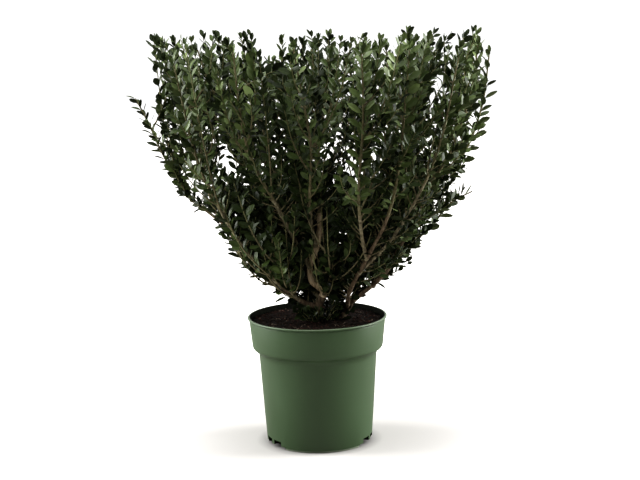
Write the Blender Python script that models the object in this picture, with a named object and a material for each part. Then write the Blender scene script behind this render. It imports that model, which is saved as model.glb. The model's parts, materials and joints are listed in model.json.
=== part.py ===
"""A Japanese holly shrub in a round nursery pot.

Metres, +Z up. The pot's underside lies on z = 0 and its axis is the Z axis.
The photo was taken from -Y, so +X is the photo's right hand side.
"""
import math
import random

import bmesh
import bpy
from mathutils import Vector
from mathutils.bvhtree import BVHTree

SEED = 41
CLEAR = 0.0003

# Pot, worked out from a rim 0.23 m across
RIM_RADIUS = 0.1150
POT_HEIGHT = 0.2100
COLLAR_RADIUS = 0.1124
COLLAR_FOOT_RADIUS = 0.1079
COLLAR_FOOT_HEIGHT = 0.1620
BODY_TOP_RADIUS = 0.0971
BODY_TOP_HEIGHT = 0.1460
BODY_FOOT_RADIUS = 0.0872
WALL = 0.0020
FLOOR_RING_HEIGHT = 0.0092
FLOOR_THICK = 0.0032
POT_SIDES = 32
SOIL_TOP = 0.2040

# Drain recesses in the pot's lower edge, each with two holes and a rib between
RECESS_ANGLES = (28.5, 159.5, -20.5, -151.5)
RECESS_WIDTH = 42.0
RECESS_HEIGHT = 0.0045
HOLE_WIDTH = 12.5
HOLE_OFFSET = 8.7
HOLE_TOP = 0.0122

# Crown: its reach to the left and to the right at each height, and its clipped top
CROWN_PROFILE = ((0.200, 0.073, 0.082), (0.244, 0.079, 0.090), (0.270, 0.093, 0.120),
                 (0.296, 0.126, 0.150), (0.323, 0.142, 0.165), (0.349, 0.166, 0.184),
                 (0.375, 0.181, 0.210), (0.401, 0.203, 0.230), (0.427, 0.221, 0.240),
                 (0.453, 0.240, 0.249), (0.480, 0.252, 0.258), (0.506, 0.266, 0.269),
                 (0.532, 0.281, 0.282), (0.558, 0.298, 0.286), (0.584, 0.293, 0.288),
                 (0.610, 0.275, 0.291), (0.640, 0.262, 0.293), (0.700, 0.254, 0.294))
CROWN_SLACK = 0.012
CROWN_DEPTH = 0.96
CROWN_TOP = 0.680
SHOOT_TOP = 0.642

# Leaves and shoots of the solids, larger and fewer than life
LEAF_LENGTH = 0.052
LEAF_WIDTH = 0.0285
LEAF_THICK = 0.0015
LEAF_LIFT = math.radians(50)
SHOOT_PARTS = (0.25, 0.75)
LEADER_PARTS = (0.5,)
LEAF_TURNS = {3: math.radians(120), 4: math.radians(270)}
SHOOT_TURN = math.radians(137.5)
SHOOT_RADIUS = 0.0025
SHOOT_END_RADIUS = 0.0019
SIDE_SHOOTS = 4
INNER_SHOOTS = 2
LOW_SHOOTS = 2
SHOOT_REACH = 0.062
SHOOT_RISE = 0.150
LEAF_ROOM = 0.0008

# Limbs seen in the photo. Each row holds the parent, the height at which the limb leaves it,
# the way points after that, the radius at the foot and the height where its foliage takes over.
SEEN_LIMBS = {
    "trunk": (None, SOIL_TOP, (
        (0.002, -0.011, SOIL_TOP + CLEAR), (0.001, -0.012, 0.223), (0.011, -0.016, 0.252),
        (-0.008, -0.020, 0.272), (-0.009, -0.024, 0.300), (0.000, -0.030, 0.323),
        (0.007, -0.035, 0.369), (0.008, -0.044, 0.460), (0.001, -0.057, 0.647)), 0.0064, 0.385),
    "stem_right": (None, SOIL_TOP, (
        (0.035, -0.008, SOIL_TOP + CLEAR), (0.043, -0.010, 0.212), (0.062, -0.012, 0.238),
        (0.108, -0.020, 0.278), (0.142, -0.025, 0.336), (0.168, -0.025, 0.383),
        (0.175, -0.025, 0.414), (0.216, -0.030, 0.472), (0.252, -0.035, 0.574),
        (0.263, -0.035, 0.647)), 0.0050, 0.425),
    "left_inner": ("trunk", 0.295, (
        (-0.030, -0.045, 0.336), (-0.056, -0.070, 0.393), (-0.111, -0.100, 0.500),
        (-0.154, -0.110, 0.590), (-0.174, -0.115, 0.652)), 0.0040, 0.405),
    "left_front": ("left_inner", 0.345, (
        (-0.058, -0.090, 0.402), (-0.096, -0.150, 0.489), (-0.109, -0.178, 0.563),
        (-0.116, -0.189, 0.650)), 0.0031, 0.415),
    "left_mid": ("trunk", 0.226, (
        (-0.031, -0.020, 0.242), (-0.080, -0.030, 0.288), (-0.130, -0.035, 0.345),
        (-0.163, -0.035, 0.401), (-0.189, -0.025, 0.510), (-0.218, -0.016, 0.641)), 0.0042, 0.400),
    "left_lobe": ("left_mid", 0.318, (
        (-0.128, 0.000, 0.345), (-0.164, 0.014, 0.374), (-0.203, 0.024, 0.408),
        (-0.243, 0.030, 0.469), (-0.270, 0.030, 0.532), (-0.289, 0.030, 0.571)), 0.0031, 0.380),
    "right_inner": ("stem_right", 0.372, (
        (0.152, -0.050, 0.430), (0.146, -0.065, 0.503), (0.158, -0.070, 0.573),
        (0.166, -0.074, 0.645)), 0.0031, 0.430),
    "right_low": ("stem_right", 0.295, (
        (0.142, 0.010, 0.313), (0.165, 0.030, 0.326), (0.193, 0.045, 0.347),
        (0.227, 0.050, 0.385), (0.263, 0.055, 0.403)), 0.0029, 0.330),
    "right_edge": ("stem_right", 0.400, (
        (0.202, 0.008, 0.424), (0.228, 0.040, 0.443), (0.259, 0.070, 0.480),
        (0.285, 0.088, 0.549), (0.296, 0.090, 0.628)), 0.0031, 0.438),
    "front_right": ("stem_right", 0.222, (
        (0.054, -0.044, 0.259), (0.085, -0.100, 0.329), (0.113, -0.135, 0.394),
        (0.130, -0.165, 0.482), (0.145, -0.187, 0.647)), 0.0038, 0.392),
    "front": ("front_right", 0.318, (
        (0.071, -0.128, 0.368), (0.067, -0.170, 0.438), (0.074, -0.208, 0.547),
        (0.073, -0.221, 0.645)), 0.0031, 0.395),
    "front_centre": ("trunk", 0.328, (
        (-0.005, -0.062, 0.361), (-0.008, -0.098, 0.412), (-0.004, -0.145, 0.498),
        (-0.013, -0.168, 0.568), (-0.027, -0.184, 0.653)), 0.0031, 0.400),
    "inner_right": ("stem_right", 0.318, (
        (0.128, 0.020, 0.371), (0.123, 0.050, 0.459), (0.127, 0.065, 0.557),
        (0.123, 0.070, 0.647)), 0.0031, 0.380),
}

# Limbs that the photo hides, arching from their parent to a tip: parent, height where they
# leave it, tip, radius at the foot and the height where the foliage takes over.
HIDDEN_LIMBS = {
    "back_left_outer": ("trunk", 0.240, (-0.230, 0.120, 0.635), 0.0038, 0.370),
    "back_left": ("trunk", 0.262, (-0.145, 0.200, 0.648), 0.0037, 0.380),
    "back_centre": ("trunk", 0.285, (-0.030, 0.240, 0.644), 0.0036, 0.390),
    "back_right": ("stem_right", 0.243, (0.095, 0.225, 0.647), 0.0036, 0.380),
    "back_right_outer": ("stem_right", 0.266, (0.200, 0.180, 0.642), 0.0034, 0.375),
    "inner_back": ("trunk", 0.345, (-0.015, 0.095, 0.650), 0.0031, 0.420),
    "inner_left": ("trunk", 0.312, (-0.100, 0.035, 0.648), 0.0031, 0.400),
    "left_front_outer": ("left_mid", 0.272, (-0.208, -0.148, 0.632), 0.0032, 0.400),
    "right_front_outer": ("front_right", 0.292, (0.222, -0.148, 0.635), 0.0031, 0.440),
}

# Short leafy shoots low in the crown that grow straight off a limb
LOW_SPRAYS = {
    "low_left": ("left_mid", 0.250, (-0.150, 0.040, 0.350), 0.0028),
    "low_right": ("stem_right", 0.258, (0.150, 0.045, 0.345), 0.0028),
    "low_front": ("trunk", 0.246, (0.030, -0.095, 0.350), 0.0028),
    "low_back": ("trunk", 0.218, (-0.020, 0.095, 0.340), 0.0028),
    "low_front_left": ("left_mid", 0.240, (-0.070, -0.080, 0.345), 0.0028),
}

COLORS = {
    "pot": (0.060, 0.095, 0.045),
    "soil": (0.012, 0.008, 0.006),
    "bark": (0.125, 0.080, 0.047),
    "leaf": (0.022, 0.045, 0.016),
}


def clear_scene():
    for obj in list(bpy.data.objects):
        bpy.data.objects.remove(obj, do_unlink=True)


def material(name, color, roughness):
    mat = bpy.data.materials.new(name)
    mat.use_nodes = True
    shader = mat.node_tree.nodes["Principled BSDF"]
    shader.inputs["Base Color"].default_value = (*color, 1.0)
    shader.inputs["Roughness"].default_value = roughness
    return mat


def make_object(name, verts, faces):
    """Closed mesh object with its faces turned outwards."""
    mesh = bpy.data.meshes.new(name)
    mesh.from_pydata([tuple(v) for v in verts], [], faces)
    bm = bmesh.new()
    bm.from_mesh(mesh)
    bmesh.ops.recalc_face_normals(bm, faces=bm.faces)
    bm.to_mesh(mesh)
    bm.free()
    obj = bpy.data.objects.new(name, mesh)
    bpy.context.scene.collection.objects.link(obj)
    return obj


def revolve(name, profile, sides):
    """Solid of revolution; a profile that ends on the axis is closed there by one point."""
    verts = []
    rings = []
    for radius, height in profile:
        if radius == 0.0:
            rings.append([len(verts)])
            verts.append((0.0, 0.0, height))
            continue
        rings.append([len(verts) + k for k in range(sides)])
        for k in range(sides):
            turn = 2 * math.pi * k / sides
            verts.append((radius * math.cos(turn), radius * math.sin(turn), height))
    faces = []
    for low, high in zip(rings, rings[1:]):
        for k in range(sides):
            quad = (low[k % len(low)], low[(k + 1) % len(low)],
                    high[(k + 1) % len(high)], high[k % len(high)])
            faces.append(tuple(dict.fromkeys(quad)))
    return make_object(name, verts, faces)


def apply_modifiers(obj):
    graph = bpy.context.evaluated_depsgraph_get()
    mesh = bpy.data.meshes.new_from_object(obj.evaluated_get(graph))
    obj.modifiers.clear()
    obj.data = mesh
    mesh.name = obj.name


def boolean(obj, tools, operation, solver="EXACT"):
    """Join the tools to the object or cut them from it, then remove them."""
    group = bpy.data.collections.new(obj.name + "_tools")
    bpy.context.scene.collection.children.link(group)
    for tool in tools:
        bpy.context.scene.collection.objects.unlink(tool)
        group.objects.link(tool)
        tool.display_type = "WIRE"
        tool.hide_render = True
    modifier = obj.modifiers.new(operation.lower(), "BOOLEAN")
    modifier.operation = operation
    modifier.operand_type = "COLLECTION"
    modifier.collection = group
    modifier.solver = solver
    apply_modifiers(obj)
    for tool in tools:
        bpy.data.objects.remove(tool, do_unlink=True)
    bpy.data.collections.remove(group)


def islands(bm):
    """Connected groups of faces."""
    left = set(bm.faces)
    groups = []
    while left:
        stack = [left.pop()]
        group = []
        while stack:
            face = stack.pop()
            group.append(face)
            for edge in face.edges:
                for other in edge.link_faces:
                    if other in left:
                        left.remove(other)
                        stack.append(other)
        groups.append(group)
    return groups


def box_size(group):
    """Sum of the three sides of the box round a group of faces."""
    points = [v.co for face in group for v in face.verts]
    return sum(max(p[i] for p in points) - min(p[i] for p in points) for i in range(3))


def keep_main_piece(obj):
    """Drop loose scraps and sealed hollows: only the group with the largest box stays."""
    bm = bmesh.new()
    bm.from_mesh(obj.data)
    bmesh.ops.dissolve_degenerate(bm, dist=1e-6, edges=bm.edges)
    for group in sorted(islands(bm), key=box_size)[:-1]:
        bmesh.ops.delete(bm, geom=group, context="FACES")
    bare = [edge for edge in bm.edges if not edge.link_faces]
    bmesh.ops.delete(bm, geom=bare, context="EDGES")
    bare = [vert for vert in bm.verts if not vert.link_faces]
    bmesh.ops.delete(bm, geom=bare, context="VERTS")
    bm.to_mesh(obj.data)
    bm.free()


def pot_profile():
    """Outer and inner outline of the pot from the centre of its underside to its floor."""
    lean = (BODY_TOP_RADIUS - BODY_FOOT_RADIUS) / BODY_TOP_HEIGHT
    outer = [
        (0.0, 0.0),
        (BODY_FOOT_RADIUS - 0.0018, 0.0),
        (BODY_FOOT_RADIUS, 0.0030),
        (BODY_TOP_RADIUS, BODY_TOP_HEIGHT),
        (BODY_TOP_RADIUS + 0.0024, BODY_TOP_HEIGHT + 0.0078),
        (COLLAR_FOOT_RADIUS - 0.0020, COLLAR_FOOT_HEIGHT - 0.0040),
        (COLLAR_FOOT_RADIUS, COLLAR_FOOT_HEIGHT),
        (COLLAR_RADIUS, POT_HEIGHT - 0.0048),
        (RIM_RADIUS, POT_HEIGHT - 0.0030),
        (RIM_RADIUS - 0.0010, POT_HEIGHT),
    ]
    inner = [
        (RIM_RADIUS - 0.0036, POT_HEIGHT),
        (COLLAR_RADIUS - WALL, POT_HEIGHT - 0.0050),
        (COLLAR_FOOT_RADIUS - WALL - 0.0012, COLLAR_FOOT_HEIGHT - 0.0014),
        (BODY_TOP_RADIUS + 0.0006, BODY_TOP_HEIGHT + 0.0094),
        (BODY_TOP_RADIUS - WALL, BODY_TOP_HEIGHT + 0.0004),
        (BODY_FOOT_RADIUS - WALL + lean * 0.006, FLOOR_RING_HEIGHT),
        (0.0700, FLOOR_RING_HEIGHT),
        (0.0660, FLOOR_THICK),
        (0.0, FLOOR_THICK),
    ]
    return outer, inner


def wedge(name, middle, width, inner, outer, top):
    """Block over a sector of a ring, from below the ground up to the given height."""
    verts = []
    steps = 2
    for height in (-0.002, top):
        for radius in (inner, outer):
            for k in range(steps + 1):
                turn = math.radians(middle - width / 2 + width * k / steps)
                verts.append((radius * math.cos(turn), radius * math.sin(turn), height))
    row = steps + 1
    faces = []
    for k in range(steps):
        faces.append((k, k + 1, row + k + 1, row + k))
        faces.append((2 * row + k, 3 * row + k, 3 * row + k + 1, 2 * row + k + 1))
        faces.append((k, 2 * row + k, 2 * row + k + 1, k + 1))
        faces.append((row + k, row + k + 1, 3 * row + k + 1, 3 * row + k))
    faces.append((0, row, 3 * row, 2 * row))
    faces.append((row - 1, 3 * row - 1, 4 * row - 1, 2 * row - 1))
    return make_object(name, verts, faces)


def build_pot():
    outer, inner = pot_profile()
    pot = revolve("pot", outer + inner, POT_SIDES)
    cutters = []
    for index, middle in enumerate(RECESS_ANGLES):
        cutters.append(wedge(f"recess_{index}", middle, RECESS_WIDTH, 0.0738, 0.1, RECESS_HEIGHT))
    boolean(pot, cutters, "DIFFERENCE")
    cutters = []
    for index, middle in enumerate(RECESS_ANGLES):
        for side in (-1, 1):
            angle = middle + side * HOLE_OFFSET
            cutters.append(wedge(f"hole_{index}_{side}", angle, HOLE_WIDTH, 0.0792, 0.1, HOLE_TOP))
    boolean(pot, cutters, "DIFFERENCE")
    return pot


def build_soil():
    """Solid filling, clear of the pot all round, with a flat top."""
    outer, inner = pot_profile()
    gap = 1.25 * CLEAR
    up = [(0.0, FLOOR_THICK + gap), (0.0660 - gap, FLOOR_THICK + gap),
          (0.0700 - gap, FLOOR_RING_HEIGHT + gap)]
    for radius, height in reversed(inner[2:6]):
        up.append((radius - 1.5 * gap, height + gap))
    share = (SOIL_TOP - inner[2][1]) / (inner[1][1] - inner[2][1])
    edge = inner[2][0] + share * (inner[1][0] - inner[2][0]) - 1.5 * gap
    up += [(edge, SOIL_TOP), (0.0, SOIL_TOP)]
    return revolve("soil", up, POT_SIDES)


def smooth(points, steps=6):
    """Catmull-Rom curve through the points."""
    points = [Vector(p) for p in points]
    ends = [2 * points[0] - points[1]] + points + [2 * points[-1] - points[-2]]
    curve = []
    for a, b, c, d in zip(ends, ends[1:], ends[2:], ends[3:]):
        for i in range(steps):
            t = i / steps
            bend = 2 * a - 5 * b + 4 * c - d
            twist = 3 * b - a - 3 * c + d
            curve.append(0.5 * (2 * b + (c - a) * t + bend * t * t + twist * t ** 3))
    curve.append(points[-1])
    return curve


def lengths(curve):
    """Distance run along the curve at each of its points."""
    run = [0.0]
    for a, b in zip(curve, curve[1:]):
        run.append(run[-1] + (b - a).length)
    return run


def at_share(curve, share):
    """Point and direction at a share of the curve's length."""
    run = lengths(curve)
    goal = min(max(share, 0.0), 1.0) * run[-1]
    for i in range(len(curve) - 1):
        if run[i + 1] >= goal or i == len(curve) - 2:
            part = (goal - run[i]) / max(run[i + 1] - run[i], 1e-9)
            return curve[i].lerp(curve[i + 1], part), (curve[i + 1] - curve[i]).normalized()


def share_at_height(curve, height):
    """Share of the curve's length where it first reaches the height."""
    run = lengths(curve)
    for i, (a, b) in enumerate(zip(curve, curve[1:])):
        if b.z >= height:
            part = max(0.0, (height - a.z) / max(b.z - a.z, 1e-9))
            return (run[i] + part * (run[i + 1] - run[i])) / run[-1]
    return 1.0


def cut_curve(curve, start, end, count):
    """Evenly spaced points between two shares of the curve's length."""
    return [at_share(curve, start + (end - start) * i / (count - 1))[0] for i in range(count)]


def ring_frames(points, axes=None):
    """Point, normal and cross direction of each ring, carried along without twist."""
    frames = []
    normal = None
    last = len(points) - 1
    for i, point in enumerate(points):
        axis = axes[i] if axes else points[min(i + 1, last)] - points[max(i - 1, 0)]
        axis = axis.normalized()
        if normal is None:
            normal = axis.orthogonal()
        normal = (normal - axis * normal.dot(axis)).normalized()
        frames.append((point, normal, axis.cross(normal)))
    return frames


def loft(frames, radii, sides):
    """Tapering tube through the rings, closed at both ends."""
    verts = []
    faces = []
    last = len(frames) - 1
    for radius, (point, normal, cross) in zip(radii, frames):
        for k in range(sides):
            turn = 2 * math.pi * k / sides
            verts.append(point + radius * (math.cos(turn) * normal + math.sin(turn) * cross))
    for i in range(last):
        for k in range(sides):
            nxt = (k + 1) % sides
            faces.append((i * sides + k, i * sides + nxt,
                          (i + 1) * sides + nxt, (i + 1) * sides + k))
    faces.append(tuple(reversed(range(sides))))
    faces.append(tuple(last * sides + k for k in range(sides)))
    return verts, faces


def arch(start, tip):
    """Way points of a limb that first runs outwards and then turns up."""
    low = Vector((start.x + 0.38 * (tip.x - start.x), start.y + 0.38 * (tip.y - start.y),
                  start.z + 0.20 * (tip.z - start.z)))
    high = Vector((start.x + 0.78 * (tip.x - start.x), start.y + 0.78 * (tip.y - start.y),
                   start.z + 0.56 * (tip.z - start.z)))
    return [low, high, tip]


def plan_limbs():
    """Curve, radius, parent and hand-over share of every limb."""
    plan = {}
    rows = dict(SEEN_LIMBS)
    for name, (parent, height, tip, radius, leafy) in HIDDEN_LIMBS.items():
        rows[name] = (parent, height, Vector(tip), radius, leafy)
    for name, (parent, height, tip, radius) in LOW_SPRAYS.items():
        rows[name] = (parent, height, Vector(tip), radius, None)
    for name, (parent, height, way, radius, leafy) in rows.items():
        start = None
        if parent:
            line = plan[parent]["curve"]
            start = at_share(line, share_at_height(line, height))[0]
        if isinstance(way, Vector):
            way = arch(start, way)
        points = ([start] if start else []) + list(way)
        curve = smooth(points)
        share = share_at_height(curve, leafy) if leafy else 0.0
        plan[name] = {"curve": curve, "radius": radius, "parent": parent, "share": share}
    return plan


def limb_radius(limb, share):
    """The limb tapers evenly from its foot to a thin tip."""
    tip = 0.0021
    return limb["radius"] + (tip - limb["radius"]) * min(share, 1.0) ** 0.85


def limb_rings(limb, start, end, count, flat_foot=False):
    """Rings along part of a limb, standing square to the limb's own curve, and their radii."""
    points = []
    axes = []
    radii = []
    for i in range(count):
        share = start + (end - start) * i / (count - 1)
        point, axis = at_share(limb["curve"], share)
        points.append(point)
        axes.append(axis)
        radii.append(limb_radius(limb, share))
    if flat_foot:
        axes[0] = Vector((0.0, 0.0, 1.0))
        run = lengths(points)
        for i in range(count):
            radii[i] *= 1.0 + 0.75 * math.exp(-run[i] / 0.009)
    return ring_frames(points, axes), radii


def seat_on_parent(obj, plan, limb):
    """Cut the foot of a limb so that it stands just clear of its parent."""
    parent = plan[limb["parent"]]
    ground = parent["parent"] is None
    # the faces of the swollen tube move out a little less than its corners
    swell = CLEAR / math.cos(math.pi / parent["sides"]) + 0.00002
    frames, radii = limb_rings(parent, 0.0, parent["share"], parent["rings"], ground)
    tube = loft(frames, [radius + swell for radius in radii], parent["sides"])
    cutter = make_object(obj.name + "_seat", *tube)
    boolean(obj, [cutter], "DIFFERENCE")
    keep_main_piece(obj)


def limb_name(name):
    return name if name in ("trunk", "stem_right") else "bough_" + name


def foliage_name(name):
    names = {"trunk": "foliage_centre", "stem_right": "foliage_right_mid"}
    return names.get(name, "foliage_" + name)


def inside_crown(point):
    """True inside the crown's outline, which is oval in plan."""
    if point.z > CROWN_TOP:
        return False
    rows = zip(CROWN_PROFILE, CROWN_PROFILE[1:])
    low, high = next((pair for pair in rows if point.z <= pair[1][0]), CROWN_PROFILE[-2:])
    part = min(1.0, max(0.0, (point.z - low[0]) / (high[0] - low[0])))
    left = low[1] + (high[1] - low[1]) * part
    right = low[2] + (high[2] - low[2]) * part
    side = (right if point.x > 0 else left) + CROWN_SLACK
    depth = CROWN_DEPTH * (left + right) / 2 + CROWN_SLACK
    return (point.x / side) ** 2 + (point.y / depth) ** 2 <= 1.0


def leaf_shape(root, along, shoot, length, width, thick):
    """Blunt leaf of eight faces with a thick root, a flat underside and a lifted tip."""
    face = (shoot - along * shoot.dot(along)).normalized()
    side = along.cross(face)
    middle = root + along * 0.56 * length - face * 0.0002
    tip = root + along * length + face * 0.032 * length
    verts = [
        root + face * thick / 2,
        root - face * thick / 2,
        middle + side * width / 2,
        middle - side * width / 2,
        tip + side * width * 0.19,
        tip - side * width * 0.19,
    ]
    faces = [(0, 2, 4), (0, 4, 5), (0, 5, 3), (1, 3, 2), (2, 3, 5), (2, 5, 4), (0, 1, 2), (0, 3, 1)]
    return verts, faces


class Room:
    """Space already taken, kept as small trees of faces with their boxes."""

    def __init__(self):
        self.items = []

    @staticmethod
    def box(verts):
        low = tuple(min(v[i] for v in verts) for i in range(3))
        high = tuple(max(v[i] for v in verts) for i in range(3))
        return low, high

    def add(self, key, verts, faces):
        tree = BVHTree.FromPolygons([Vector(v) for v in verts], faces)
        self.items.append((key, self.box(verts), tree))

    def is_free(self, verts, faces, skip=()):
        low, high = self.box(verts)
        tree = None
        for key, (item_low, item_high), item_tree in self.items:
            if key in skip:
                continue
            if any(low[i] > item_high[i] or high[i] < item_low[i] for i in range(3)):
                continue
            tree = tree or BVHTree.FromPolygons([Vector(v) for v in verts], faces)
            if tree.overlap(item_tree):
                return False
        return True


def shoot_curve(leader, share, turn, reach, rise):
    """Side shoot that leaves the leader sideways and then turns up."""
    start, along = at_share(leader, share)
    normal = along.orthogonal().normalized()
    away = math.cos(turn) * normal + math.sin(turn) * along.cross(normal)
    away = Vector((away.x, away.y, 0.3 * away.z)).normalized()
    rise = min(rise, SHOOT_TOP - start.z)
    tip = start + away * reach + Vector((0.0, 0.0, max(rise, 0.03)))
    bend = start + away * reach * 0.62 + along * 0.30 * (tip - start).length
    return smooth([start, start.lerp(bend, 0.55), bend.lerp(tip, 0.30), tip], 4)


def leaf_places(frames, sides, parts):
    """Root, leaf direction and shoot direction of the leaves along a shoot.

    Each leaf leaves the middle of one side of the shoot, the next one from the next side.
    """
    turn = math.pi / sides
    for (low, low_normal, _), (high, high_normal, _) in zip(frames, frames[1:]):
        along = (high - low).normalized()
        for part in parts:
            normal = low_normal.lerp(high_normal, part)
            normal = (normal - along * normal.dot(along)).normalized()
            away = math.cos(turn) * normal + math.sin(turn) * along.cross(normal)
            leaf = (math.cos(LEAF_LIFT) * along + math.sin(LEAF_LIFT) * away).normalized()
            yield low.lerp(high, part), leaf, along
            turn += LEAF_TURNS[sides]
    root, normal, cross = frames[-1]
    along = normal.cross(cross)
    yield root - 0.0012 * along, (along + 0.25 * normal).normalized(), along


def place_leader(name, limb, room):
    start = limb["share"]
    if start > 0.0:
        start += CLEAR / lengths(limb["curve"])[-1]
    frames, radii = limb_rings(limb, start, 1.0, 6 if start > 0.0 else 4)
    shape = loft(frames, radii, 4)
    room.add(name, *shape)
    return frames, shape


def place_shoots(name, frames, room, rng, count):
    """Side shoots in a spiral up the leader, each turned on until it finds room."""
    leader = [frame[0] for frame in frames]
    phase = rng.uniform(0, 2 * math.pi)
    total = lengths(leader)[-1]
    low = min(0.10, 0.020 / total)
    shoots = []
    for k in range(count):
        share = low + (0.66 - low) * k / max(count - 1, 1)
        reach = SHOOT_REACH * rng.uniform(0.85, 1.2)
        rise = SHOOT_RISE * rng.uniform(0.85, 1.15)
        for attempt in range(9):
            turn = phase + k * SHOOT_TURN + attempt * math.radians(40)
            curve = shoot_curve(leader, share, turn, reach, rise)
            points = cut_curve(curve, 0.0, 1.0, 4)
            if not inside_crown(points[-1]) or not inside_crown(points[2]):
                continue
            radii = [0.0013, SHOOT_RADIUS, 0.0023, SHOOT_END_RADIUS]
            rings = ring_frames(points)
            wide = loft(rings, [radius + 0.0016 for radius in radii], 3)
            if room.is_free(*wide, skip=(name,)):
                key = f"{name}/{k}"
                shape = loft(rings, radii, 3)
                room.add(key, *shape)
                shoots.append((key, rings, shape))
                break
    return shoots


def place_leaves(name, key, frames, sides, parts, room, rng):
    """Leaves along one shoot; a leaf that would leave the crown or touch anything is skipped."""
    shapes = []
    for root, along, shoot in leaf_places(frames, sides, parts):
        size = rng.uniform(0.88, 1.12)
        length = LEAF_LENGTH * size
        width = LEAF_WIDTH * size
        if not inside_crown(root + along * length):
            continue
        wide = leaf_shape(root, along, shoot, length + LEAF_ROOM, width + 2 * LEAF_ROOM,
                          LEAF_THICK + LEAF_ROOM)
        if room.is_free(*wide, skip=(key,)):
            shape = leaf_shape(root, along, shoot, length, width, LEAF_THICK)
            room.add(f"{name}/leaf", *shape)
            shapes.append(shape)
    return shapes


def build_limbs(plan, room):
    limbs = []
    for name, limb in plan.items():
        ground = limb["parent"] is None
        limb["sides"] = 10 if ground else 6
        limb["rings"] = max(4, int(lengths(limb["curve"])[-1] * limb["share"] / 0.028) + 2)
        if limb["share"] == 0.0:
            continue
        frames, radii = limb_rings(limb, 0.0, limb["share"], limb["rings"], ground)
        obj = make_object(limb_name(name), *loft(frames, radii, limb["sides"]))
        if not ground:
            seat_on_parent(obj, plan, limb)
        obj.data.materials.clear()
        obj.data.materials.append(material(obj.name, COLORS["bark"], 0.85))
        limbs.append(obj)
        mesh = obj.data
        room.add(name + "/limb", [v.co.copy() for v in mesh.vertices],
                 [tuple(p.vertices) for p in mesh.polygons])
    return limbs


def build_foliage(plan, room):
    """Leaders first, then side shoots, then leaves, so that every mass gets its share of room."""
    leaders = {}
    shoots = {}
    for name, limb in plan.items():
        leaders[name] = place_leader(name, limb, room)
    for name, limb in plan.items():
        rng = random.Random(f"{SEED} shoots {name}")
        count = SIDE_SHOOTS if limb["share"] > 0.0 else LOW_SHOOTS
        if name == "trunk" or "inner" in name:
            count = INNER_SHOOTS
        shoots[name] = place_shoots(name, leaders[name][0], room, rng, count)
    shapes = {name: [] for name in plan}
    for name in plan:
        rng = random.Random(f"{SEED} leaves {name}")
        for key, frames, shape in shoots[name]:
            shapes[name] += place_leaves(name, key, frames, 3, SHOOT_PARTS, room, rng)
        frames = leaders[name][0][-4:]
        shapes[name] += place_leaves(name, name, frames, 4, LEADER_PARTS, room, rng)
    masses = []
    for name, limb in plan.items():
        obj = make_object(foliage_name(name), *leaders[name][1])
        parts = [shape for key, frames, shape in shoots[name]] + shapes[name]
        tools = [make_object(f"{obj.name}_{i}", *shape) for i, shape in enumerate(parts)]
        boolean(obj, tools, "UNION")
        keep_main_piece(obj)
        if limb["share"] == 0.0:
            seat_on_parent(obj, plan, limb)
        obj.data.materials.clear()
        obj.data.materials.append(material(obj.name, COLORS["leaf"], 0.45))
        masses.append(obj)
    return masses


def main():
    clear_scene()
    pot = build_pot()
    pot.data.materials.clear()
    pot.data.materials.append(material("pot", COLORS["pot"], 0.5))
    soil = build_soil()
    soil.data.materials.append(material("soil", COLORS["soil"], 0.95))
    plan = plan_limbs()
    room = Room()
    for obj in (pot, soil):
        room.add(obj.name, [v.co.copy() for v in obj.data.vertices],
                 [tuple(p.vertices) for p in obj.data.polygons])
    build_limbs(plan, room)
    build_foliage(plan, room)


main()
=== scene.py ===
"""Looks of the Japanese holly shrub in its nursery pot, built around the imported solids.

Metres, +Z up, seen from -Y. Stems, shoots and leaves follow the growth rule of the solids,
written again here and carried on to finer twigs and leaves of the real size.
"""
import json
import math
import random

import bmesh
import bpy
import numpy as np
from mathutils import Matrix, Vector, noise

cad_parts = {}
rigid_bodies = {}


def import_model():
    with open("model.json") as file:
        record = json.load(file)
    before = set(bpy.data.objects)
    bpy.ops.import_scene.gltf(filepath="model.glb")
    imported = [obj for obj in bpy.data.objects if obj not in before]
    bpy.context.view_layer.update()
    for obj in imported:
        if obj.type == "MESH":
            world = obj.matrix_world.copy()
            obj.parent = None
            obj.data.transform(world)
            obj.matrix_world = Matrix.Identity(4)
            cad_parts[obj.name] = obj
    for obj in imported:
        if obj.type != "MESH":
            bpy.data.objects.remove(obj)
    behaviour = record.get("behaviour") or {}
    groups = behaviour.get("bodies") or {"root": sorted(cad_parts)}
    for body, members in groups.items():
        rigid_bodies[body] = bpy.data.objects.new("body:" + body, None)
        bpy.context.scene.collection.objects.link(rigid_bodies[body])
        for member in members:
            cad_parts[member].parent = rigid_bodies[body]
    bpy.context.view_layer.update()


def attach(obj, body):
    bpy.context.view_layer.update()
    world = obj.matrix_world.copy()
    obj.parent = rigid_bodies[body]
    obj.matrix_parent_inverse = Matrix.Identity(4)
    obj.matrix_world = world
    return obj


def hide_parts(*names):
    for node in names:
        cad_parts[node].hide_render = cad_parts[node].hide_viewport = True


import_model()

SEED = 41

# Pot and soil
RIM_RADIUS = 0.1150
POT_HEIGHT = 0.2100
COLLAR_RADIUS = 0.1124
COLLAR_FOOT_RADIUS = 0.1079
COLLAR_FOOT_HEIGHT = 0.1620
BODY_TOP_RADIUS = 0.0971
BODY_TOP_HEIGHT = 0.1460
BODY_FOOT_RADIUS = 0.0872
WALL = 0.0016
FLOOR_RING_HEIGHT = 0.0092
FLOOR_THICK = 0.0032
POT_SIDES = 160
SOIL_TOP = 0.2040
RECESS_ANGLES = (28.5, 159.5, -20.5, -151.5)
RECESS_WIDTH = 42.0
RECESS_HEIGHT = 0.0045
RECESS_INNER = 0.0738
HOLE_WIDTH = 12.5
HOLE_OFFSET = 8.7
HOLE_TOP = 0.0122
HOLE_INNER = 0.0792
SOIL_RADIUS = 0.1098
CHIPS = 620
FIBRES = 260

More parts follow.
